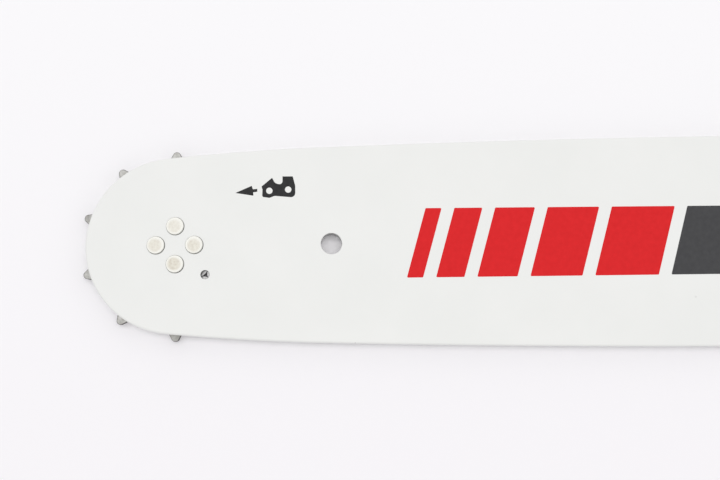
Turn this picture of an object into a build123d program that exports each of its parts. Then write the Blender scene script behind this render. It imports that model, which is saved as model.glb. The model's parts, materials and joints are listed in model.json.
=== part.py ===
from build123d import *
import os
from math import asin, atan2, cos, floor, hypot, pi, sin, sqrt, tan

# Guide bar of a chain saw, lying on its side. Two side plates and a narrower core plate are welded
# into one blade, and a toothed wheel on a roller bearing is riveted between the plates at the nose.
# Millimetres. The origin is the middle of the stud slot, on the underside. The nose lies towards -Y,
# the tail towards +Y, and +Z comes out of the upper side plate.

# Plates
PLATE = 1.5                  # thickness of one side plate
GROOVE_WIDTH = 1.5           # chain groove between the side plates, filled by the core plate
GROOVE_DEPTH = 6.5           # rail edge to core plate
EDGE_BREAK = 0.25            # chamfer round the outer edge of a side plate

# Nose bearing, from its middle outwards
RIVET_CIRCLE = 9.3           # diameter through the middles of the rivets
RIVET_COUNT = 4
RIVET_SHANK = 4.1            # diameter
RIVET_HEAD_LIP = 0.23        # head radius over shank radius, sunk at 45 degrees into the plate
RIVET_PROUD = 0.3            # head above the face of the plate
RIVET_FIT = 0.02             # round a rivet in its holes
RACE_WALL = 3.2              # rivet shank to the roller track
ROLLER = 3.2                 # diameter
ROLLER_PLAY = 0.02           # between a roller and each track
ROLLER_GAP = 0.03            # least room between neighbouring rollers
SIDE_PLAY = 0.05             # between each side plate and the wheel or the rollers
GREASE_HOLE = 2.15           # diameter
GREASE_OUTSIDE_RACE = 0.4    # middle of the grease hole outside the inner track
GREASE_TURN = 45.0           # degrees from the bar's middle line, behind the nose axis

# Sprocket wheel
TEETH = 10
WHEEL_RIM = 3.26             # bore to the floor of a gullet
GULLET_DEPTH = 5.3           # floor of a gullet to the nose edge of the plates
GULLET_ROUND = 1.8           # radius of a gullet's floor
TOOTH_WIDTH = 3.0            # at the nose edge
TOOTH_REACH = 1.7            # tooth tip beyond the nose edge
TOOTH_ROUND = 0.9            # radius of a tip's corners
CORE_CLEARANCE = 1.0         # tooth tips to the core plate

# Long edges, by half-widths at stations behind the sprocket axis
NOSE_TO_SLOT = 400.0         # sprocket axis to the middle of the stud slot
SHOULDER_FROM_NOSE = 36.5    # where the lead-in from the nose meets the long rail
SHOULDER_RISE = 2.6          # half-width at the shoulder over the nose radius
BELLY_FROM_NOSE = 185.0      # the widest place
BELLY_RISE = 2.55            # half-width there over the shoulder's
HANG_HOLE = 5.2              # diameter
HANG_WALL = 11.1             # front of the core plate to the hang hole

# Tail
SLOT_WIDTH = 8.2             # for the bar studs
SLOT_LENGTH = 62.0           # end to end
TAIL_WALL = 12.0             # slot end to tail end
TAIL_CORNER = 7.0            # corner radius
TENSION_HOLE = 6.5           # diameter, for the chain tensioner's pin
TENSION_AHEAD = 14.0         # slot middle to the tension holes, towards the nose
TENSION_WALL = 3.15          # slot to tension hole
TENSION_OUTER_WALL = 2.0     # core plate left outside a tension hole
OIL_HOLE = 3.0               # diameter
OIL_BEHIND = 14.0            # slot middle to the oil holes, towards the tail

# Heights
CORE_BASE = PLATE
CORE_TOP = CORE_BASE + GROOVE_WIDTH
THICKNESS = CORE_TOP + PLATE
MID_PLANE = Plane.XY.offset(THICKNESS / 2)

# Radii about the sprocket axis
RACE_R = RIVET_CIRCLE / 2 + RIVET_SHANK / 2 + RACE_WALL
ROLLER_CIRCLE_R = RACE_R + ROLLER_PLAY + ROLLER / 2
BORE_R = ROLLER_CIRCLE_R + ROLLER / 2 + ROLLER_PLAY
GULLET_R = BORE_R + WHEEL_RIM
NOSE_R = GULLET_R + GULLET_DEPTH
TIP_R = NOSE_R + TOOTH_REACH
ROLLER_COUNT = floor(pi / asin((ROLLER + ROLLER_GAP) / 2 / ROLLER_CIRCLE_R))

# Places along and across the bar
NOSE = Vector(0, -NOSE_TO_SLOT)
NOSE_AXIS = Pos(NOSE.X, NOSE.Y)
TAIL_Y = SLOT_LENGTH / 2 + TAIL_WALL
TENSION_X = SLOT_WIDTH / 2 + TENSION_WALL + TENSION_HOLE / 2
HANG_Y = NOSE.Y + TIP_R + CORE_CLEARANCE + HANG_WALL + HANG_HOLE / 2
SHOULDER_HALF = NOSE_R + SHOULDER_RISE
BELLY_HALF = SHOULDER_HALF + BELLY_RISE
TENSION_HALF = TENSION_X + TENSION_HOLE / 2 + TENSION_OUTER_WALL + GROOVE_DEPTH
BELLY_Y = NOSE.Y + BELLY_FROM_NOSE


def crown_arc_radius(drop, run):
    """Radius of the arc that falls by drop over run, starting square to it."""
    return (run**2 + drop**2) / (2 * drop)


FRONT_RAIL_R = crown_arc_radius(BELLY_RISE, BELLY_FROM_NOSE - SHOULDER_FROM_NOSE)
REAR_RAIL_R = crown_arc_radius(BELLY_HALF - TENSION_HALF, -TENSION_AHEAD - BELLY_Y)
FRONT_RAIL_MIDDLE = Vector(BELLY_HALF - FRONT_RAIL_R, BELLY_Y)
REAR_RAIL_MIDDLE = Vector(BELLY_HALF - REAR_RAIL_R, BELLY_Y)


def rear_half_width(y, inset=0):
    """Half-width behind the belly, on the rear rail's arc brought in by inset."""
    return REAR_RAIL_MIDDLE.X + sqrt((REAR_RAIL_R - inset) ** 2 - (y - BELLY_Y) ** 2)


def arc_about(middle, start, end):
    """The shorter arc about middle from start to end."""
    outward = ((start + end) / 2 - middle).normalized()
    return ThreePointArc(start, middle + outward * (start - middle).length, end)


def bar_outline(inset=0):
    """Bar seen from above: round nose, lead-ins, bowed rails and a square tail, all arcs tangent."""
    shoulder = Vector(SHOULDER_HALF, NOSE.Y + SHOULDER_FROM_NOSE)
    shoulder_out = (shoulder - FRONT_RAIL_MIDDLE).normalized()
    reach = shoulder - NOSE
    lead_r = (NOSE_R**2 - reach.length**2) / 2 / (NOSE_R - reach.dot(shoulder_out))
    lead_middle = shoulder - shoulder_out * lead_r
    nose_out = (NOSE - lead_middle).normalized()

    nose_end = NOSE + nose_out * (NOSE_R - inset)
    lead_end = shoulder - shoulder_out * inset
    belly = Vector(BELLY_HALF - inset, BELLY_Y)
    tail = Vector(rear_half_width(TAIL_Y, inset), TAIL_Y)
    rail = [
        arc_about(lead_middle, nose_end, lead_end),
        arc_about(FRONT_RAIL_MIDDLE, lead_end, belly),
        arc_about(REAR_RAIL_MIDDLE, belly, tail),
    ]
    other_rail = [mirror(edge, about=Plane.YZ) for edge in rail]
    nose = arc_about(NOSE, Vector(-nose_end.X, nose_end.Y), nose_end)
    end = Line(tail, (-tail.X, tail.Y))
    return make_face([nose, *rail, end, *other_rail])


def tail_rounded(outline):
    """Outline with its two tail corners rounded."""
    return fillet(outline.vertices().group_by(Axis.Y)[-1], TAIL_CORNER)


def both_sides(x, y):
    """The same place on either side of the bar's middle line."""
    return Locations((x, y), (-x, y))


def holes_through_core():
    """Stud slot, tension holes and hang hole, which pass through all three plates."""
    slot = SlotOverall(SLOT_LENGTH, SLOT_WIDTH, rotation=90)
    tension = both_sides(TENSION_X, -TENSION_AHEAD) * Circle(TENSION_HOLE / 2)
    return slot + tension + Pos(0, HANG_Y) * Circle(HANG_HOLE / 2)


def rivet(gap=0):
    """Rivet about Z with a sunk head at each end, swollen by gap where it makes a hole."""
    shank = RIVET_SHANK / 2 + gap
    head = shank + RIVET_HEAD_LIP
    standing = (Align.CENTER, Align.CENTER, Align.MIN)
    sunk = Pos(0, 0, THICKNESS - RIVET_HEAD_LIP) * Cone(shank, head, RIVET_HEAD_LIP, align=standing)
    proud = Pos(0, 0, THICKNESS) * Cylinder(head, RIVET_PROUD, align=standing)
    upper = sunk + proud
    middle = Pos(0, 0, THICKNESS / 2) * Cylinder(shank, THICKNESS - 2 * RIVET_HEAD_LIP)
    return middle + upper + mirror(upper, about=MID_PLANE)


RIVET_PLACES = NOSE_AXIS * PolarLocations(RIVET_CIRCLE / 2, RIVET_COUNT)


def upper_side_plate():
    """Upper side plate, with a broken outer edge and the holes that the bar needs on its face."""
    plate = extrude(Pos(0, 0, CORE_TOP) * tail_rounded(bar_outline()), PLATE)
    plate = chamfer(plate.faces().sort_by(Axis.Z)[-1].outer_wire().edges(), EDGE_BREAK)
    oil_x = rear_half_width(OIL_BEHIND) - GROOVE_DEPTH / 2
    holes = holes_through_core() + both_sides(oil_x, OIL_BEHIND) * Circle(OIL_HOLE / 2)
    grease = PolarLocations(RACE_R + GREASE_OUTSIDE_RACE, 1, start_angle=GREASE_TURN)
    holes += NOSE_AXIS * grease * Circle(GREASE_HOLE / 2)
    plate -= extrude(holes, THICKNESS)
    return plate - RIVET_PLACES * rivet(RIVET_FIT)


def core_plate():
    """Core plate, set in from both rails for the groove and hollowed round the sprocket."""
    wheel_room = NOSE_AXIS * Circle(TIP_R + CORE_CLEARANCE)
    outline = bar_outline(GROOVE_DEPTH) - wheel_room - holes_through_core()
    return extrude(Pos(0, 0, CORE_BASE) * outline, GROOVE_WIDTH)


def gullet(mouth_half_angle):
    """Rounded V between two teeth, with its floor on the gullet circle, opening along +Y."""
    across = NOSE_R * sin(mouth_half_angle)
    middle_y = GULLET_R + GULLET_ROUND
    beyond = NOSE_R * cos(mouth_half_angle) - middle_y
    flank = atan2(across, beyond) - asin(GULLET_ROUND / hypot(across, beyond))
    foot = Vector(GULLET_ROUND * cos(flank), middle_y - GULLET_ROUND * sin(flank))
    mouth = foot + Vector(sin(flank), cos(flank)) * TIP_R
    other_foot = Vector(-foot.X, foot.Y)
    other_mouth = Vector(-mouth.X, mouth.Y)
    sides = Polyline(foot, mouth, other_mouth, other_foot)
    return flank, make_face([ThreePointArc(other_foot, (0, GULLET_R), foot), sides])


def nose_sprocket():
    """Toothed wheel with rounded gullets for the drive links, free between the side plates."""
    half_pitch = pi / TEETH
    mouth_half_angle = half_pitch - asin(TOOTH_WIDTH / 2 / NOSE_R)
    flank, notch = gullet(mouth_half_angle)
    lean = flank - half_pitch
    tip_half = TOOTH_WIDTH / 2 - TOOTH_REACH * tan(lean)
    corner_reach = tan((pi / 2 - lean) / 2)
    tip_round = min(TOOTH_ROUND, 0.9 * tip_half / corner_reach)

    blank = Circle(TIP_R) - PolarLocations(0, TEETH) * notch
    tips = blank.vertices().filter_by(lambda v: hypot(v.X, v.Y) > TIP_R - TOOTH_REACH / 2)
    profile = fillet(tips, tip_round) - Circle(BORE_R)
    return extrude(Pos(0, 0, CORE_BASE + SIDE_PLAY) * NOSE_AXIS * profile, GROOVE_WIDTH - 2 * SIDE_PLAY)


def bearing_race():
    """Inner race, clamped between the side plates by the rivets."""
    race = extrude(Pos(0, 0, CORE_BASE) * NOSE_AXIS * Circle(RACE_R), GROOVE_WIDTH)
    return race - RIVET_PLACES * rivet(RIVET_FIT)


def bearing_rollers():
    """Full ring of rollers between race and wheel, two of them meeting under the grease hole."""
    roller = Pos(0, 0, THICKNESS / 2) * Cylinder(ROLLER / 2, GROOVE_WIDTH - 2 * SIDE_PLAY)
    half_pitch = 180 / ROLLER_COUNT
    ring = PolarLocations(ROLLER_CIRCLE_R, ROLLER_COUNT, start_angle=GREASE_TURN + half_pitch)
    return [place * roller for place in NOSE_AXIS * ring]


upper_plate = upper_side_plate()
nodes = {
    "side_plate_top": upper_plate,
    "side_plate_bottom": mirror(upper_plate, about=MID_PLANE),
    "core_plate": core_plate(),
    "bearing_race": bearing_race(),
    "nose_sprocket": nose_sprocket(),
    "nose_rivets": Compound([place * rivet() for place in RIVET_PLACES]),
}
for number, roller in enumerate(bearing_rollers(), start=1):
    nodes[f"bearing_roller_{number:02d}"] = roller

os.makedirs("parts", exist_ok=True)
for name, shape in nodes.items():
    export_step(shape, f"parts/{name}.step")
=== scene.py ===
import json

import bpy
import numpy as np
from mathutils import Matrix, Vector
from mathutils.geometry import delaunay_2d_cdt


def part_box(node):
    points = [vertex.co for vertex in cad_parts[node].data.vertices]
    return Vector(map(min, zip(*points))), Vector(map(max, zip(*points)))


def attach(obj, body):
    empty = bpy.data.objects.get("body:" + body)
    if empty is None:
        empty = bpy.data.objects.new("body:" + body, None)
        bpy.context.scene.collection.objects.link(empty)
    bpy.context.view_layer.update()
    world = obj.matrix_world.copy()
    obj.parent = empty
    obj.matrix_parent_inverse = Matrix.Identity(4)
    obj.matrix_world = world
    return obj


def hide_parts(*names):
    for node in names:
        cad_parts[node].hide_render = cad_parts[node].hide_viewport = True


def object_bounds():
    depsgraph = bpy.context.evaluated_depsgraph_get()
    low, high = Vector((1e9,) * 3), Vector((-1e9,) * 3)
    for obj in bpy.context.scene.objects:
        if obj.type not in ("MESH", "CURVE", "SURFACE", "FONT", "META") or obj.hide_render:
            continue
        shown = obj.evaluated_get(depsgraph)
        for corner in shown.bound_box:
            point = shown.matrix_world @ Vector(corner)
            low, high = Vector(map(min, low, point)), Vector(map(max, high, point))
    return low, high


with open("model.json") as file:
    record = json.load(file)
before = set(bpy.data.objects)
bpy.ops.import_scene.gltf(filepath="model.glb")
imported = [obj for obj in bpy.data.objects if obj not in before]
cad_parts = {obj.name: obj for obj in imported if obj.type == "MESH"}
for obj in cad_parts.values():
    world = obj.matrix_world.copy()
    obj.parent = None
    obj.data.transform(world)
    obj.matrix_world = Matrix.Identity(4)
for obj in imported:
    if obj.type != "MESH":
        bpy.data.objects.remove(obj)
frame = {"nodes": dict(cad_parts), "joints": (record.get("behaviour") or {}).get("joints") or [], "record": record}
cad_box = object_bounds()


# Core plate. Rolled steel strip, blanked narrower than the side plates so that its edge is the floor of
# the chain groove. It is spot welded between them and left bare, and shows only in the groove and the holes.
MM = 0.001


def feed(material, socket, value):
    """Gives a socket a value, or links an output to it."""
    if isinstance(value, bpy.types.NodeSocket):
        material.node_tree.links.new(value, socket)
    else:
        socket.default_value = value


def feed_all(material, node, **sockets):
    """Feeds a node's sockets by their names, with _ in place of a space."""
    for name, value in sockets.items():
        feed(material, node.inputs[name.replace("_", " ")], value)


def add_node(material, kind, options=None, **sockets):
    """A shader node. Options are the node's own settings, and each socket takes a value or an output."""
    node = material.node_tree.nodes.new("ShaderNode" + kind)
    for name, value in (options or {}).items():
        setattr(node, name, value)
    feed_all(material, node, **sockets)
    return node


def mapped(material, value, way="LINEAR", **limits):
    """A value taken from one range to another, in a straight line or another way. Both ranges are 0 to 1
    unless the limits say otherwise."""
    span = add_node(material, "MapRange", {"interpolation_type": way}, Value=value, **limits)
    return span.outputs["Result"]


def new_finish(name, **sockets):
    """A material with its shader's constant sockets set. Returns the material and the shader."""
    material = bpy.data.materials.new(name)
    material.use_nodes = True
    shader = material.node_tree.nodes["Principled BSDF"]
    feed_all(material, shader, **sockets)
    return material, shader


def mottle(material, grain, low=0.0, high=1.0, stretch=(1.0, 1.0, 1.0), detail=3.0):
    """Noise over the piece's own coordinates, with spots about grain metres wide. Its middle range, where
    most of it lies, is spread from low to high."""
    place = add_node(material, "TexCoord").outputs["Object"]
    drawn = add_node(material, "Mapping", Vector=place, Scale=stretch).outputs["Vector"]
    noise = add_node(material, "TexNoise", Vector=drawn, Scale=1 / grain, Detail=detail).outputs["Fac"]
    return mapped(material, noise, From_Min=0.3, From_Max=0.7, To_Min=low, To_Max=high)


def between(material, share, first, second):
    """Colour that goes from first to second as share goes from 0 to 1."""
    mix = add_node(material, "Mix", {"data_type": "RGBA"})
    share_in, first_in, second_in, colour_out = mix.inputs[0], mix.inputs[6], mix.inputs[7], mix.outputs[2]
    feed(material, share_in, share)
    for socket, colour in ((first_in, first), (second_in, second)):
        feed(material, socket, (*colour, 1.0) if isinstance(colour, tuple) else colour)
    return colour_out


def relief(material, height, depth):
    """Normals of a surface that stands depth metres high where height is 1."""
    return add_node(material, "Bump", Distance=depth, Height=height).outputs["Normal"]


def bare_steel(name, dark, pale, grain, stretch, roughness, depth):
    """Uncoated steel with a drawn-out grain that varies its colour and its relief, and patches of gloss that
    are three grains wide."""
    material, shader = new_finish(name, Metallic=1.0)
    streaks = mottle(material, grain, stretch=stretch)
    gloss = mottle(material, 3 * grain, *roughness, stretch)
    feed_all(
        material,
        shader,
        Base_Color=between(material, streaks, dark, pale),
        Roughness=gloss,
        Normal=relief(material, streaks, depth),
    )
    return material


def dress(node, material):
    """Gives a piece its finish, in place of any that it has."""
    node.data.materials.clear()
    node.data.materials.append(material)


ALONG_THE_BAR = (1.0, 0.08, 1.0)
core_steel = bare_steel(
    "rolled core steel",
    dark=(0.33, 0.33, 0.335),
    pale=(0.48, 0.475, 0.465),
    grain=0.35 * MM,
    stretch=ALONG_THE_BAR,
    roughness=(0.38, 0.55),
    depth=0.004 * MM,
)
dress(frame["nodes"]["core_plate"], core_steel)

# Side plates. Two steel plates of one outline, blanked from sheet with all their holes, spot welded to the
# core and sprayed white as one blade. The coat rounds the outer edges and the rims of the holes, thins down
# the walls of the holes, where the bare steel that shows on walls facing across the bar is painted shade,
# and reaches only a little way into the groove.
BEARING = frame["joints"][0]["pos_m"]
NOSE = np.array(BEARING[:2])
MID_HEIGHT = BEARING[2]
plate_low, plate_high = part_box("side_plate_top")
FACE = plate_high.z - MID_HEIGHT
GROOVE = plate_low.z - MID_HEIGHT
NOSE_R = NOSE[1] - plate_low.y
BELLY_BEHIND_NOSE = 185 * MM
BELLY = np.array([plate_high.x, NOSE[1] + BELLY_BEHIND_NOSE])
SHOULDER_BEHIND_NOSE = 36.5 * MM
SHOULDER_RISE = 2.6 * MM
SHOULDER = np.array([NOSE_R + SHOULDER_RISE, NOSE[1] + SHOULDER_BEHIND_NOSE])
TAIL_Y = plate_high.y
TAIL_CORNER = 7 * MM
mounts = {mount["name"]: mount for mount in frame["record"]["mounts"]}
tension_at = np.array(mounts["tension_hole_plus_x"]["pos_m"][:2])
TENSION_R = mounts["tension_hole_plus_x"]["dims"]["r_mm"] * MM
OUTSIDE_TENSION_HOLE = 8.5 * MM
GREASE_R = 1.075 * MM
GREASE_OUT = 10.3 * MM
RIVET_CIRCLE_R = 4.65 * MM
RIVET_SHANK_R = 2.05 * MM
RIVET_LIP = 0.18 * MM
RIVET_FIT = 0.02 * MM


def unit(vector):
    """The vector at length 1."""
    return vector / np.linalg.norm(vector)


def bowed_radius(drop, run):
    """Radius of the arc that falls by drop over run, starting square to it."""
    return (run**2 + drop**2) / (2 * drop)


def bar_outline():
    """Outline of the bar with its outward normals: arcs about five middles, each starting at the angle where
    the last one ended, from the tip of the nose along the +X rail to the tail, and then their mirror."""
    front_r = bowed_radius(BELLY[0] - SHOULDER[0], BELLY[1] - SHOULDER[1])
    front = BELLY - (front_r, 0)
    rear_half = tension_at[0] + TENSION_R + OUTSIDE_TENSION_HOLE
    rear_r = bowed_radius(BELLY[0] - rear_half, tension_at[1] - BELLY[1])
    rear = BELLY - (rear_r, 0)
    shoulder_out = unit(SHOULDER - front)
    reach = SHOULDER - NOSE
    lead_r = (NOSE_R**2 - reach @ reach) / 2 / (NOSE_R - reach @ shoulder_out)
    lead = SHOULDER - shoulder_out * lead_r
    corner_y = TAIL_Y - TAIL_CORNER
    corner_x = rear[0] + np.sqrt((rear_r - TAIL_CORNER) ** 2 - (corner_y - BELLY[1]) ** 2)
    corner = np.array([corner_x, corner_y])

    middles = np.array([NOSE, lead, front, rear, corner])
    radii = np.array([NOSE_R, lead_r, front_r, rear_r, TAIL_CORNER])
    steps = np.array([110, 40, 60, 60, 24])
    nose_out, corner_out = unit(NOSE - lead), unit(corner - rear)
    outs = np.array([(0.0, -1.0), nose_out, shoulder_out, (1.0, 0.0), corner_out, (0.0, 1.0)])
    breaks = np.arctan2(outs[:, 1], outs[:, 0])
    arc = np.append(np.repeat(np.arange(len(steps)), steps), len(steps) - 1)
    along = np.arange(steps.sum() + 1) - np.append(0, np.cumsum(steps))[arc]
    turn = breaks[arc] + (breaks[arc + 1] - breaks[arc]) * along / steps[arc]
    out = np.stack([np.cos(turn), np.sin(turn)], axis=1)
    path = middles[arc] + radii[arc, None] * out
    other_side = np.array([-1.0, 1.0])
    return np.concatenate([path, path[:0:-1] * other_side]), np.concatenate([out, out[:0:-1] * other_side])


def round_hole(middle, radius, steps=96):
    """Circle run clockwise with normals to its middle, so that the plate lies outside it."""
    turn = np.linspace(0, -2 * np.pi, steps, endpoint=False)
    out = np.stack([np.cos(turn), np.sin(turn)], axis=1)
    return middle + radius * out, -out


def slotted_hole(radius, length, steps=48):
    """Two half circles with straight sides between them along Y, run clockwise with normals inwards."""
    turn = np.concatenate([np.linspace(np.pi, 0, steps), np.linspace(0, -np.pi, steps)])
    out = np.stack([np.cos(turn), np.sin(turn)], axis=1)
    ends = np.repeat([(0, length / 2 - radius), (0, radius - length / 2)], steps, axis=0)
    return ends + radius * out, -out


def rounded(corners, rounds, steps=6):
    """Open chain of corners, each inner one turned on an arc of its own radius that is tangent to both its
    sides. Gives the points of the arcs and their normals, to the right of the way along the chain."""
    corners = np.asarray(corners, float)
    run = np.diff(corners, axis=0)
    heading = np.arctan2(run[:, 1], run[:, 0])
    turn = (np.diff(heading) + np.pi) % (2 * np.pi) - np.pi
    radius = np.asarray(rounds, float)
    setback = radius * np.tan(np.abs(turn) / 2)
    bearing = heading[:-1, None] + turn[:, None] * np.linspace(0, 1, steps)
    right = np.stack([np.sin(bearing), -np.cos(bearing)], axis=-1)
    side = (np.sign(turn) * radius)[:, None]
    way_in = run[:-1] / np.linalg.norm(run[:-1], axis=1)[:, None]
    entry = corners[1:-1] - setback[:, None] * way_in
    middle = entry - side * right[:, 0]
    return (middle[:, None] + side[:, None] * right).reshape(-1, 2), right.reshape(-1, 2)


def section(corners, rounds, steps=6):
    """Edge section as rows of inset and height with their normals, from the first corner over the rounded
    ones to the last."""
    points, normals = rounded(corners, rounds, steps)
    ends = np.asarray(corners, float)[[0, -1]]
    points = np.concatenate([ends[:1], points, ends[1:]])
    return points, np.concatenate([normals[:1], normals, normals[-1:]])


def carried(path, out, rows, row_normals):
    """Section carried along a level path: a row lies its inset inside the path, at its height above the
    middle of the bar. Gives grids of points and normals."""
    count = len(path)
    heights = np.broadcast_to(rows[:, 1], (count, len(rows)))[..., None]
    ups = np.broadcast_to(row_normals[:, 1], (count, len(rows)))[..., None]
    flat = path[:, None] - rows[None, :, :1] * out[:, None]
    leans = -row_normals[None, :, :1] * out[:, None]
    return np.concatenate([flat, MID_HEIGHT + heights], axis=2), np.concatenate([leans, ups], axis=2)


def filled(points, loops):
    """Triangles of the flat region that closed loops bound. Constrained triangles fill every loop, and those
    with all three corners on one clockwise loop, which is a hole, are left out."""
    ring = np.concatenate(loops)
    counts = np.array([len(loop) for loop in loops])
    owner = np.repeat(np.arange(len(loops)), counts)
    starts = np.append(0, np.cumsum(counts)[:-1])
    step = np.arange(len(ring)) - starts[owner]
    onward = starts[owner] + (step + 1) % counts[owner]
    flat = points[ring, :2] / MM
    area = np.bincount(owner, flat[:, 0] * flat[onward, 1] - flat[:, 1] * flat[onward, 0])
    edges = np.stack([np.arange(len(ring)), onward], axis=1).tolist()
    inside_only, closeness = 1, 1e-7
    places = [Vector(place) for place in flat.tolist()]
    _, _, found, origins, _, _ = delaunay_2d_cdt(places, edges, [], inside_only, closeness)
    triangles = np.array([given[0] for given in origins])[np.array(found)]
    owners = owner[triangles]
    in_hole = (owners == owners[:, :1]).all(axis=1) & (area[owners[:, 0]] < 0)
    return ring[triangles[~in_hole]]


def punched(name, edges, turned_over=False):
    """A flat piece from its edges, each a path, its outward normals and a section. An edge is a strip of
    quads along its path, and both faces are filled, between the first rows and between the last rows of the
    strips. Turned over, it is mirrored about the middle of the bar."""
    points, normals, quads, tops, bottoms = [], [], [], [], []
    used = 0
    for path, out, (rows, row_normals) in edges:
        strip, leans = carried(path, out, rows, row_normals)
        index = used + np.arange(strip.shape[0] * strip.shape[1]).reshape(strip.shape[:2])
        onward = np.roll(index, -1, axis=0)
        corners = [index[:, :-1], index[:, 1:], onward[:, 1:], onward[:, :-1]]
        quads.append(np.stack(corners, axis=-1).reshape(-1, 4))
        points.append(strip.reshape(-1, 3))
        normals.append(leans.reshape(-1, 3))
        tops.append(index[:, 0])
        bottoms.append(index[:, -1])
        used += index.size
    points, normals = np.concatenate(points), np.concatenate(normals)
    top, bottom = filled(points, tops), filled(points, bottoms)[:, ::-1]
    faces = [np.concatenate(quads), top, bottom]
    if turned_over:
        points[:, 2] = 2 * MID_HEIGHT - points[:, 2]
        normals[:, 2] *= -1
        faces = [face[:, ::-1] for face in faces]

    mesh = bpy.data.meshes.new(name)
    mesh.from_pydata(points.tolist(), [], [corner for face in faces for corner in face.tolist()])
    mesh.shade_smooth()
    mesh.normals_split_custom_set_from_vertices(normals.tolist())
    piece = bpy.data.objects.new(name, mesh)
    bpy.context.scene.collection.objects.link(piece)
    return piece


def write_rows(piece, edges, name, worths):
    """Writes an attribute on the points of a punched piece: worths holds each edge's values, by row alone or
    by place along the path and row."""
    grids = [np.broadcast_to(worth, (len(edge[0]), len(edge[2][0]))) for edge, worth in zip(edges, worths)]
    values = np.concatenate([grid.ravel() for grid in grids])
    piece.data.attributes.new(name, "FLOAT", "POINT").data.foreach_set("value", values.astype(np.float32))


EDGE_ROUND = 0.6 * MM
EDGE_BURR_ROUND = 0.1 * MM
SPRAY_REACH = 1.2 * MM
rail_section = section(
    [(2 * EDGE_ROUND, FACE), (0, FACE), (0, GROOVE), (SPRAY_REACH, GROOVE)],
    [EDGE_ROUND, EDGE_BURR_ROUND],
    steps=8,
)
RIM_ROUND = 0.14 * MM
RIM_BURR_ROUND = 0.06 * MM
rim_section = section(
    [(2 * RIM_ROUND, FACE), (0, FACE), (0, GROOVE), (2 * RIM_ROUND, GROOVE)], [RIM_ROUND, RIM_BURR_ROUND]
)
SINK_ROUND = 0.05 * MM
SINK_BURR_ROUND = 0.04 * MM
sunk_section = section(
    [(1.5 * RIVET_LIP, FACE), (RIVET_LIP, FACE), (0, FACE - RIVET_LIP), (0, GROOVE), (RIVET_LIP, GROOVE)],
    [SINK_ROUND, SINK_BURR_ROUND, SINK_BURR_ROUND],
)

stud_slot = mounts["stud_slot"]["dims"]
round_mounts = [mount for mount in mounts.values() if mount["kind"] == "bore"]
DIAGONAL = unit(np.array([1.0, 1.0]))
rivet_places = NOSE + RIVET_CIRCLE_R * np.array([(1, 0), (0, 1), (-1, 0), (0, -1)])
rail_path, rail_out = bar_outline()
rims = [slotted_hole(stud_slot["hole_r_mm"] * MM, stud_slot["slot_length_mm"] * MM)]
rims += [round_hole(np.array(mount["pos_m"][:2]), mount["dims"]["r_mm"] * MM) for mount in round_mounts]
grease_hole = round_hole(NOSE + GREASE_OUT * DIAGONAL, GREASE_R)
sinks = [round_hole(place, RIVET_SHANK_R + RIVET_FIT) for place in rivet_places]
plate_edges = [(rail_path, rail_out, rail_section)] + [(*rim, rim_section) for rim in rims]
plate_edges += [(*grease_hole, rim_section)] + [(*sink, sunk_section) for sink in sinks]

# Worth of the coat: it starts to cover at COAT_BREAKS and covers fully at COAT_CLOSES. Below NO_COAT the
# bare steel is painted darker and darker: grease in the grease hole, and painted shade in the countersinks.
FULL_COAT, THIN_COAT_AS_SHADE, NO_COAT, GREASE_AND_SHADE = 1.2, 0.3, -1.0, -2.0
COAT_BREAKS, COAT_CLOSES = 0.25, 0.9
RIM_COATED = 0.6 * RIM_ROUND
SINK_COATED = 0.5 * RIVET_LIP
rail_rows, rim_rows, sink_rows = rail_section[0], rim_section[0], sunk_section[0]
in_groove = np.isclose(rail_rows[:, 1], GROOVE)
rail_coat = FULL_COAT * np.where(in_groove, 1 - rail_rows[:, 0] / SPRAY_REACH, 1.0)
on_rim = rim_rows[:, 1] > FACE - RIM_COATED
grease_coat = np.where(on_rim, FULL_COAT, GREASE_AND_SHADE)
# Painted shade: the countersinks below their rims are coloured near black.
sink_coat = np.where(sink_rows[:, 1] > FACE - SINK_COATED, FULL_COAT, GREASE_AND_SHADE)


def sprayed_hole(out):
    """Coat of a hole by place and row: full on the rim, and down the wall full where it faces along the bar and
    thin where it faces across, where the bare steel is painted shade on the upper wall of the hang hole. The
    groove side is bare."""
    # Painted shade: walls facing across the bar keep little coat and show dark steel.
    wall = THIN_COAT_AS_SHADE + (FULL_COAT - THIN_COAT_AS_SHADE) * out[:, 1:] ** 2
    coat = np.where(on_rim, FULL_COAT, wall)
    coat[:, -1] = NO_COAT
    return coat


def worked_out(material, kind, options, first, second):
    """Result of a node of two operands, each a value or an output."""
    node = add_node(material, kind, options)
    feed(material, node.inputs[0], first)
    feed(material, node.inputs[1], second)
    return node.outputs["Value"]


def written(material, layer):
    """An attribute of the piece, read at the point that is shaded."""
    return add_node(material, "Attribute", {"attribute_name": layer}).outputs["Fac"]


STREAK_WIDTH = 0.4 * MM
FRAYED = 0.25
DOWN_THE_WALLS = (1.0, 1.0, 0.12)


def ragged(material, layer, breaks, closes):
    """Cover of a layer with a ragged end: its attribute plus a little noise, which runs in streaks down the
    walls. It is none up to where the layer breaks and whole from where it closes."""
    streaks = mottle(material, STREAK_WIDTH, -FRAYED, FRAYED, stretch=DOWN_THE_WALLS)
    frayed = worked_out(material, "Math", {"operation": "ADD"}, written(material, layer), streaks)
    return mapped(material, frayed, From_Min=breaks, From_Max=closes)


def flaw(material, place, reach, depth):
    """Share of the coat that is lost: depth about a place, and nothing from reach metres away."""
    here = add_node(material, "TexCoord").outputs["Object"]
    away = worked_out(material, "VectorMath", {"operation": "DISTANCE"}, here, place)
    return mapped(material, away, From_Min=0.4 * reach, From_Max=reach, To_Min=depth, To_Max=0.0)


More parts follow.
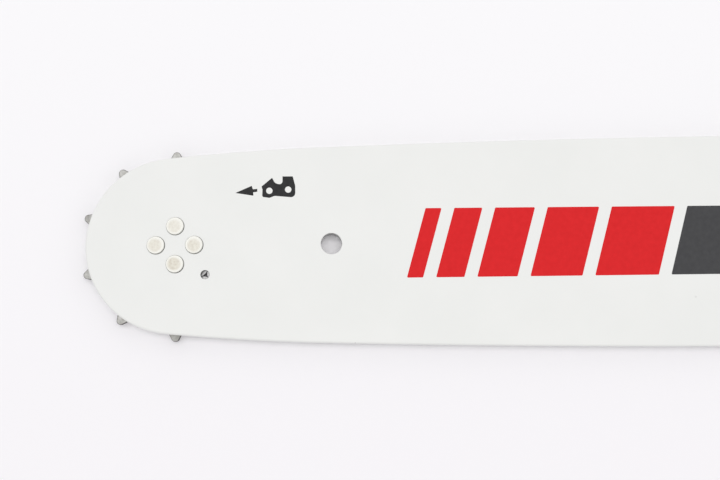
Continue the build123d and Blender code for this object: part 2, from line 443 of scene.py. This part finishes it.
GREASE_AND_SHADE_COLOUR = (0.03, 0.026, 0.02)
chip_y = NOSE[1] + 43.6 * MM
rail_half = len(rail_path) // 2
chip_x = np.interp(chip_y, rail_path[:rail_half, 1], rail_path[:rail_half, 0])
CHIP_IN = 0.15 * MM
CHIP = (chip_x - CHIP_IN, chip_y, plate_high.z - CHIP_IN)
FLECK = (NOSE[0] + 14.2 * MM, NOSE[1] + 128.3 * MM, plate_high.z)
# Place of each flaw, its reach and the share of the coat that is gone in its middle.
FLAWS = [(CHIP, 0.22 * MM, 0.5), (FLECK, 0.35 * MM, 0.22)]


def white_coat():
    """Sprayed satin white: faint clouds in its colour, orange peel in its relief, steel where it thins, grease
    on the steel of the grease hole and painted shade on the steel of the countersinks, with a chip on the lower
    rail and a fleck beside the print."""
    material, shader = new_finish("white satin coat", IOR=1.5)
    clouds = between(material, mottle(material, 14 * MM), (0.84, 0.845, 0.827), (0.86, 0.862, 0.846))
    steel = between(material, mottle(material, 0.4 * MM), (0.34, 0.34, 0.345), (0.47, 0.465, 0.455))
    grease_and_shade_share = mapped(material, written(material, "coat"), From_Min=NO_COAT, From_Max=GREASE_AND_SHADE)
    under = between(material, grease_and_shade_share, steel, GREASE_AND_SHADE_COLOUR)
    cover = ragged(material, "coat", COAT_BREAKS, COAT_CLOSES)
    clamped = {"operation": "SUBTRACT", "use_clamp": True}
    for place, reach, depth in FLAWS:
        cover = worked_out(material, "Math", clamped, cover, flaw(material, place, reach, depth))
    feed_all(
        material,
        shader,
        Base_Color=between(material, cover, under, clouds),
        Metallic=mapped(material, cover, To_Min=1.0, To_Max=0.0),
        Roughness=mottle(material, 2.5 * MM, 0.36, 0.46),
        Normal=relief(material, mottle(material, 0.9 * MM, detail=1.0), 0.003 * MM),
    )
    return material


coats = [rail_coat] + [sprayed_hole(out) for _, out in rims] + [grease_coat] + [sink_coat] * len(sinks)
white = white_coat()
for name, turned_over in (("side_plate_top", False), ("side_plate_bottom", True)):
    plate = punched(name + "_coated", plate_edges, turned_over)
    write_rows(plate, plate_edges, "coat", coats)
    dress(plate, white)
    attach(plate, "bar")
    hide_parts(name)

# Nose bearing. A hardened inner race that the rivets clamp between the plates, and a full ring of short
# rollers round it, ground bright and greased. Only the grease hole lets them be seen.
bearing_steel = bare_steel(
    "ground bearing steel",
    dark=(0.5, 0.5, 0.5),
    pale=(0.72, 0.715, 0.7),
    grain=0.25 * MM,
    stretch=(1.0, 1.0, 1.0),
    roughness=(0.16, 0.3),
    depth=0.001 * MM,
)
for name, node in frame["nodes"].items():
    if name.startswith("bearing_"):
        dress(node, bearing_steel)

# Nose sprocket. A flat toothed wheel, blanked from steel sheet, hardened and tumbled, which rounds its edges
# a little. Its cut edges and their rims are painted dark, partly as the hardening's scale and partly as
# painted shade. It turns on the rollers between the side plates, and its teeth carry the chain round the nose.
TEETH = 10
_, wheel_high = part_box("nose_sprocket")
WHEEL_HALF = wheel_high.z - MID_HEIGHT
TIP_R = wheel_high.x
BORE_R = 13.14 * MM
GULLET_R = 16.4 * MM
GULLET_ROUND = 1.8 * MM
TOOTH_WIDTH = 3.0 * MM
TOOTH_ROUND = 0.9 * MM
TUMBLED = 0.14 * MM
EDGE_SHADE_REACH = 0.36 * MM
EDGE_SHADE_FADE = 0.18 * MM
FULL_EDGE_SHADE = 1.2
EDGE_SHADE_BREAKS, EDGE_SHADE_CLOSES = 0.35, 0.95
EDGE_SHADE_COLOUR = (0.04, 0.034, 0.03)
# Tooth by tooth from the one on the +X side, turning towards +Y: 0 is darkest and 1 is brightest, partly wear and
# partly painted shade, as on the +X tooth, which the upper plate shades.
TOOTH_WEAR_AND_SHADE = np.array([0.2, 0.6, 0.4, 0.8, 0.5, 1.0, 0.7, 0.15, 0.55, 0.7])


def wheel_outline():
    """Toothed outline as corners turned on arcs: two straight flanks run out from the point of each gullet's
    V to the tip corners of the teeth beside it, and the V is rounded to the gullet's floor."""
    mouth = np.pi / TEETH - np.arcsin(TOOTH_WIDTH / 2 / NOSE_R)
    across = NOSE_R * np.sin(mouth)
    beyond = NOSE_R * np.cos(mouth) - GULLET_R - GULLET_ROUND
    flank = np.arctan2(across, beyond) - np.arcsin(GULLET_ROUND / np.hypot(across, beyond))
    point = GULLET_R + GULLET_ROUND - GULLET_ROUND / np.sin(flank)
    length = np.sqrt(TIP_R**2 - (point * np.sin(flank)) ** 2) - point * np.cos(flank)
    tip_x, tip_y = point + length * np.cos(flank), length * np.sin(flank)
    gullet = np.array([(tip_x, -tip_y), (point, 0.0), (tip_x, tip_y)])
    turn = (np.arange(TEETH) + 0.5) * 2 * np.pi / TEETH
    spin = np.array([[np.cos(turn), np.sin(turn)], [-np.sin(turn), np.cos(turn)]]).transpose(2, 0, 1)
    corners = (gullet @ spin).reshape(-1, 2)
    rounds = np.tile([TOOTH_ROUND, GULLET_ROUND, TOOTH_ROUND], TEETH)
    closed = np.concatenate([corners[-1:], corners, corners[:1]])
    path, out = rounded(closed, rounds, steps=14)
    return NOSE + path, out


def wheel_finish():
    """Ground and tumbled faces, mottled and brighter on some teeth than on others, partly as wear and partly as
    painted shade, and painted dark on the cut edges, fading inwards over their rims, partly as the hardening's
    scale and partly as painted shade."""
    material, shader = new_finish("hardened wheel steel", Metallic=1.0)
    spots = mottle(material, 0.8 * MM)
    worn_and_shaded = between(material, spots, (0.362, 0.356, 0.334), (0.53, 0.523, 0.503))
    clean = between(material, spots, (0.507, 0.5, 0.47), (0.747, 0.74, 0.716))
    ground = between(material, written(material, "clean"), worn_and_shaded, clean)
    edge_shaded = ragged(material, "scale", EDGE_SHADE_BREAKS, EDGE_SHADE_CLOSES)
    feed_all(
        material,
        shader,
        Base_Color=between(material, edge_shaded, ground, EDGE_SHADE_COLOUR),
        Roughness=mottle(material, 2.4 * MM, 0.34, 0.5),
        Normal=relief(material, spots, 0.004 * MM),
    )
    return material


wheel_section = section(
    [(EDGE_SHADE_REACH, WHEEL_HALF), (0, WHEEL_HALF), (0, -WHEEL_HALF), (EDGE_SHADE_REACH, -WHEEL_HALF)],
    [TUMBLED, TUMBLED],
)
wheel_path, wheel_out = wheel_outline()
wheel_bore = round_hole(NOSE, BORE_R, steps=160)
wheel_edges = [(wheel_path, wheel_out, wheel_section), (*wheel_bore, wheel_section)]
wheel = punched("nose_sprocket_tumbled", wheel_edges)
# Painted shade: the cut edges and a band of their rims are coloured dark.
wheel_edge_shade = np.clip(FULL_EDGE_SHADE - wheel_section[0][:, 0] / EDGE_SHADE_FADE, 0, FULL_EDGE_SHADE)
write_rows(wheel, wheel_edges, "scale", [wheel_edge_shade] * len(wheel_edges))
off_x, off_y = (wheel_path - NOSE).T
tooth = np.rint(np.arctan2(off_y, off_x) * TEETH / (2 * np.pi)).astype(int) % TEETH
# Partly wear and partly painted shade: each tooth's faces are painted brighter or darker.
write_rows(wheel, wheel_edges, "clean", [TOOTH_WEAR_AND_SHADE[tooth][:, None], TOOTH_WEAR_AND_SHADE.mean()])
dress(wheel, wheel_finish())
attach(wheel, "sprocket")
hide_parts("nose_sprocket")

# Nose rivets. Four bare steel rivets through the plates and the race, set after the bar is painted. Their
# heads stand a little proud of the countersinks, with a thin gap round them that is painted dark as shade,
# and the setting tool has pressed each into a shallow dish, painted dull, inside a ring painted bright,
# partly as polish and partly as a highlight.
HEAD_R = 2.15 * MM
HEAD_PROUD = 0.3 * MM
HEAD_ROUND = 0.28 * MM
DARK_FROM, DARK_TO = 0.65 * HEAD_ROUND, 0.9 * HEAD_ROUND
# Colour painted on the heads' walls down in the gap, as shade.
GAP_SHADE_COLOUR = (0.06, 0.05, 0.04)
PLAY = 0.07 * MM
SET_OFF = -0.0595 * MM * DIAGONAL
DISH = 0.08 * MM
DULL_R, DULL_ROUND = 1.3 * MM, 1.0 * MM
RING_R, RING_ROUND = 1.8 * MM, 0.6 * MM
GAP_ROUND, SHANK_ROUND = 0.02 * MM, 0.04 * MM
# Rivet by rivet: how far off the head's middle the dull dish is centred, which paints the bright ring wider on one
# side as a highlight, and how much brighter the dish is painted.
PAINTED_HIGHLIGHT_OFF = np.array([(0.0, -0.2), (0.18, -0.08), (0.1, -0.17), (0.05, -0.2)]) * MM
HEAD_SHINE = np.array([0.0, 0.2, 0.4, 0.25])


def rivet_section():
    """Half section from the middle of the upper head to the middle of the lower one, in inset from the axis,
    which is the radius with its sign turned, and height. Under its rim a head stays PLAY clear of the
    countersink, which slopes at 45 degrees."""
    sink_r = RIVET_SHANK_R + RIVET_FIT + RIVET_LIP
    bottom_of_gap = FACE - sink_r + HEAD_R + PLAY
    upper = [
        (-0.5 * DULL_R, FACE + HEAD_PROUD - DISH),
        (-DULL_R, FACE + HEAD_PROUD - DISH),
        (-RING_R, FACE + HEAD_PROUD),
        (-HEAD_R, FACE + HEAD_PROUD),
        (-HEAD_R, bottom_of_gap),
        (PLAY - RIVET_SHANK_R, FACE - RIVET_LIP),
    ]
    lower = [(inset, -height) for inset, height in reversed(upper)]
    rounds = [DULL_ROUND, RING_ROUND, HEAD_ROUND, GAP_ROUND, SHANK_ROUND]
    return section(upper + lower, rounds + rounds[::-1], steps=7)


def set_steel():
    """Rivet steel pressed by the setting tool: cream and dull in the dish of a head, bright on the ring round
    it, partly as polish and partly as a painted highlight, and painted dark down in the gap as shade."""
    material, shader = new_finish("set rivet steel", Metallic=1.0)
    dull = between(material, mottle(material, 0.6 * MM), (0.74, 0.69, 0.6), (0.89, 0.86, 0.765))
    polish = written(material, "polish")
    dull_dish_and_highlit_ring = between(material, polish, dull, (0.98, 0.97, 0.915))
    feed_all(
        material,
        shader,
        Base_Color=between(material, written(material, "scale"), dull_dish_and_highlit_ring, GAP_SHADE_COLOUR),
        Roughness=mapped(material, polish, To_Min=0.42, To_Max=0.26),
        Normal=relief(material, mottle(material, 0.35 * MM), 0.006 * MM),
    )
    return material


spoke_turn = np.linspace(0, 2 * np.pi, 96, endpoint=False)
spokes = np.stack([np.cos(spoke_turn), np.sin(spoke_turn)], axis=1)
rivet_rows, rivet_normals = rivet_section()
rivet_axes = [np.tile(place + SET_OFF, (len(spokes), 1)) for place in rivet_places]
rivet_edges = [(axis, spokes, (rivet_rows, rivet_normals)) for axis in rivet_axes]
rivets = punched("nose_rivets_set", rivet_edges)
# Painted highlight: a bright ring round each dish, wider on the side away from the dish's shifted middle.
from_dish_middle = -rivet_rows[:, :1] * spokes[:, None] - PAINTED_HIGHLIGHT_OFF[:, None, None]
ring_share = np.clip((np.linalg.norm(from_dish_middle, axis=3) - DULL_R) / (RING_R - DULL_R), 0, 1)
write_rows(rivets, rivet_edges, "polish", 1 - (1 - HEAD_SHINE[:, None, None]) * (1 - ring_share))
# Painted shade: the wall of each head below its rounding is coloured dark, down into the gap.
below_top = FACE + HEAD_PROUD - np.abs(rivet_rows[:, 1])
painted_gap_shade = np.clip((below_top - DARK_FROM) / (DARK_TO - DARK_FROM), 0, 1)
gap_shade_rows = np.where(-rivet_rows[:, 0] > RING_R, painted_gap_shade, 0)
write_rows(rivets, rivet_edges, "scale", [gap_shade_rows] * len(rivet_edges))
dress(rivets, set_steel())
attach(rivets, "bar")
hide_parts("nose_rivets")

# Direction mark. Dark ink, screen printed on the coat: an arrow to the nose and the outline of a cutter
# link with its two rivet holes, which show the way that the chain runs along the upper rail.
INK = 0.02 * MM


def on_bar(places):
    """Places in millimetres behind the nose axis and towards the upper rail, as places in the frame."""
    behind, up = np.asarray(places, float).T * MM
    return NOSE + np.stack([-up, behind], axis=1)


def printed(name, colour_from, colour_to, edges):
    """A print of ink a few hundredths of a millimetre thick, patchy in tone and gloss, on the upper plate."""
    piece = punched(name, edges)
    material, shader = new_finish(name.replace("_", " ") + " ink", Specular_IOR_Level=0.25)
    patches = mottle(material, 1.2 * MM)
    feed_all(
        material,
        shader,
        Base_Color=between(material, patches, colour_from, colour_to),
        Roughness=mottle(material, 0.8 * MM, 0.38, 0.46),
        Normal=relief(material, mottle(material, 0.5 * MM, detail=1.0), 0.001 * MM),
    )
    dress(piece, material)
    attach(piece, "bar")
    return piece


def outlined(corners, rounds, steps=6):
    """Closed printed outline through corners that turn on arcs."""
    places = on_bar(corners)
    closed = np.concatenate([places[-1:], places, places[:1]])
    return rounded(closed, np.asarray(rounds) * MM, steps)


INK_RIM = 1.5 * INK
ink_section = section(
    [(INK_RIM, FACE + INK), (0, FACE + INK), (0, FACE - INK), (INK_RIM, FACE - INK)],
    [INK / 2, INK / 2],
    steps=3,
)
arrow = [
    (14.6, 12.77), (19.01, 12.05), (18.99, 12.92), (19.98, 13.03),
    (19.98, 13.76), (18.89, 13.65), (18.63, 14.52),
]
link = [
    (21.17, 11.74), (23.0, 11.48), (24.2, 11.98), (29.32, 11.52), (29.32, 14.45), (28.72, 16.82),
    (26.2, 16.82), (26.2, 14.72), (24.35, 15.07), (23.64, 16.5), (21.04, 14.33), (21.27, 13.55),
]
ARROW_ROUND = 0.03
link_rounds = [0.45, 0.6, 0.9, 1.05, 0.3, 0.08, 0.06, 0.75, 1.4, 0.06, 0.08, 0.4]
link_holes = on_bar([(22.95, 13.25), (27.58, 13.52)])
LINK_HOLE_R = 0.79 * MM
mark_edges = [
    (*outlined(arrow, np.full(len(arrow), ARROW_ROUND)), ink_section),
    (*outlined(link, link_rounds), ink_section),
]
mark_edges += [(*round_hole(place, LINK_HOLE_R), ink_section) for place in link_holes]
printed("direction_mark", (0.018, 0.018, 0.019), (0.028, 0.028, 0.029), mark_edges)

# Printed bars. A plain row of slanted bars, screen printed in two inks on the coat: red ones that widen
# towards the tail and dark grey ones after them.
BARS_UP, BARS_DOWN = 8.6, -8.6
SLANT = 5.0
BAR_ROOM = 3.2
BAR_ROUND = 0.25


def slanted_bars(start, widths):
    """Outlines of bars in a row from start, each as wide as given, leaning to the tail at the top."""
    widths = np.asarray(widths)
    fronts = start + np.cumsum(widths + BAR_ROOM) - widths - BAR_ROOM
    bars = []
    for front, back in zip(fronts, fronts + widths):
        foot = [(front, BARS_DOWN), (back, BARS_DOWN)]
        head = [(back + SLANT, BARS_UP), (front + SLANT, BARS_UP)]
        bars.append(outlined(foot + head, np.full(4, BAR_ROUND)))
    return bars


RED_FROM, GREY_FROM = 56.5, 122.5
red_bars = [(*bar, ink_section) for bar in slanted_bars(RED_FROM, [4, 7, 10, 13, 16])]
grey_bars = [(*bar, ink_section) for bar in slanted_bars(GREY_FROM, [19, 22])]
printed("red_bars", (0.67, 0.0115, 0.0145), (0.72, 0.0145, 0.018), red_bars)
printed("grey_bars", (0.05, 0.05, 0.053), (0.06, 0.06, 0.063), grey_bars)

# Table. A matt white sheet, painted a shade greyer and a little mauve towards the viewer as painted shade
# where the light falls off. The bar lies on it unfixed, on the lower heads of its rivets.
FLOOR_HALF = 3.0
FLOOR_FADE = 0.25
floor_z = cad_box[0].z
floor_mesh = bpy.data.meshes.new("floor")
floor_corners = [(-1, -1), (1, -1), (1, 1), (-1, 1)]
floor_places = [(x * FLOOR_HALF, y * FLOOR_HALF + NOSE[1], floor_z) for x, y in floor_corners]
floor_mesh.from_pydata(floor_places, [], [(0, 1, 2, 3)])
floor = bpy.data.objects.new("floor", floor_mesh)
bpy.context.scene.collection.objects.link(floor)
paper, paper_shader = new_finish("pale table", Roughness=0.9)
across = add_node(paper, "SeparateXYZ", Vector=add_node(paper, "TexCoord").outputs["Object"]).outputs["X"]
# Painted shade: the sheet's colour darkens towards the viewer, on the +X side.
painted_falloff = mapped(paper, across, "SMOOTHSTEP", From_Min=-FLOOR_FADE, From_Max=FLOOR_FADE)
sheet_colour_and_falloff = between(paper, painted_falloff, (0.98, 0.98, 0.99), (0.915, 0.885, 0.92))
feed_all(paper, paper_shader, Base_Color=sheet_colour_and_falloff)
dress(floor, paper)

# Light. A white room, which lights the bar almost evenly and looks brighter towards the upper rail and the
# nose where metal mirrors it, and two wide soft lamps side by side over the upper rail.
ROOM = 0.62
LIT_MORE = 0.08
LIT_SIDE = Vector((-1.0, 0.5, 0.0)).normalized()
SEEN_BRIGHT = 0.97
SEEN_DIM = 0.55
BRIGHT_SIDE = Vector((-0.5, -0.5, 0.7)).normalized()
DIM_FROM, BRIGHT_FROM = -0.2, 0.6
world = bpy.data.worlds.new("white room")
world.use_nodes = True
bpy.context.scene.world = world


def facing(side):
    """Cosine of the angle between the way that a ray goes and a side."""
    ray = add_node(world, "TexCoord").outputs["Generated"]
    return worked_out(world, "VectorMath", {"operation": "DOT_PRODUCT"}, ray, side)


rays = add_node(world, "LightPath").outputs
larger = {"operation": "MAXIMUM"}
mirrored = worked_out(world, "Math", larger, rays["Is Glossy Ray"], rays["Is Transmission Ray"])
seen = worked_out(world, "Math", larger, rays["Is Camera Ray"], mirrored)
seen_room = mapped(
    world,
    facing(BRIGHT_SIDE),
    "SMOOTHSTEP",
    From_Min=DIM_FROM,
    From_Max=BRIGHT_FROM,
    To_Min=SEEN_DIM,
    To_Max=SEEN_BRIGHT,
)
lit_from, lit_to = ROOM * (1 - LIT_MORE), ROOM * (1 + LIT_MORE)
lit_room = mapped(world, facing(LIT_SIDE), From_Min=-1.0, From_Max=1.0, To_Min=lit_from, To_Max=lit_to)
background = world.node_tree.nodes["Background"]
background.inputs["Color"].default_value = (1.0, 1.0, 1.0, 1.0)
feed_all(world, background, Strength=mapped(world, seen, To_Min=lit_room, To_Max=seen_room))

LAMPS_FROM = {"nose side": Vector((-0.105, -0.2, 1.0)), "tail side": Vector((-0.105, 0.2, 1.0))}
LAMP_SPREAD = np.radians(30)
LAMP_LEVEL = 0.617
for lamp_side, lamp_from in LAMPS_FROM.items():
    lamp_data = bpy.data.lights.new("soft lamp on the " + lamp_side, "SUN")
    lamp_data.angle = LAMP_SPREAD
    lamp_data.energy = LAMP_LEVEL
    lamp = bpy.data.objects.new(lamp_data.name, lamp_data)
    bpy.context.scene.collection.objects.link(lamp)
    lamp.rotation_mode = "QUATERNION"
    lamp.rotation_quaternion = lamp_from.to_track_quat("Z", "Y")
    lamp.visible_glossy = False

# Camera. It hangs over the lower rail, behind the nose, with a lens a little longer than normal, and looks
# down on the nose half of the bar with the upper rail, on the -X side, at the top of the picture.
CAMERA_AT = Vector((24.8, -364.57, 224.2)) * MM
LOOKS_AT = Vector((-0.81, -354.87, 4.5)) * MM
ROLL = np.radians(0.87)
LENS = 45.0
SENSOR = 36.0
back = (CAMERA_AT - LOOKS_AT).normalized()
level_right = Vector((-1.0, 0.0, 0.0)).cross(back).normalized()
level_up = back.cross(level_right)
right = level_right * np.cos(ROLL) - level_up * np.sin(ROLL)
up = back.cross(right)
camera_data = bpy.data.cameras.new("camera")
camera_data.lens = LENS
camera_data.sensor_width = SENSOR
camera_data.clip_start = 10 * MM
camera = bpy.data.objects.new("camera", camera_data)
bpy.context.scene.collection.objects.link(camera)
camera.matrix_world = Matrix.Translation(CAMERA_AT) @ Matrix((right, up, back)).transposed().to_4x4()
bpy.context.scene.camera = camera
bpy.context.scene.view_settings.view_transform = "Standard"
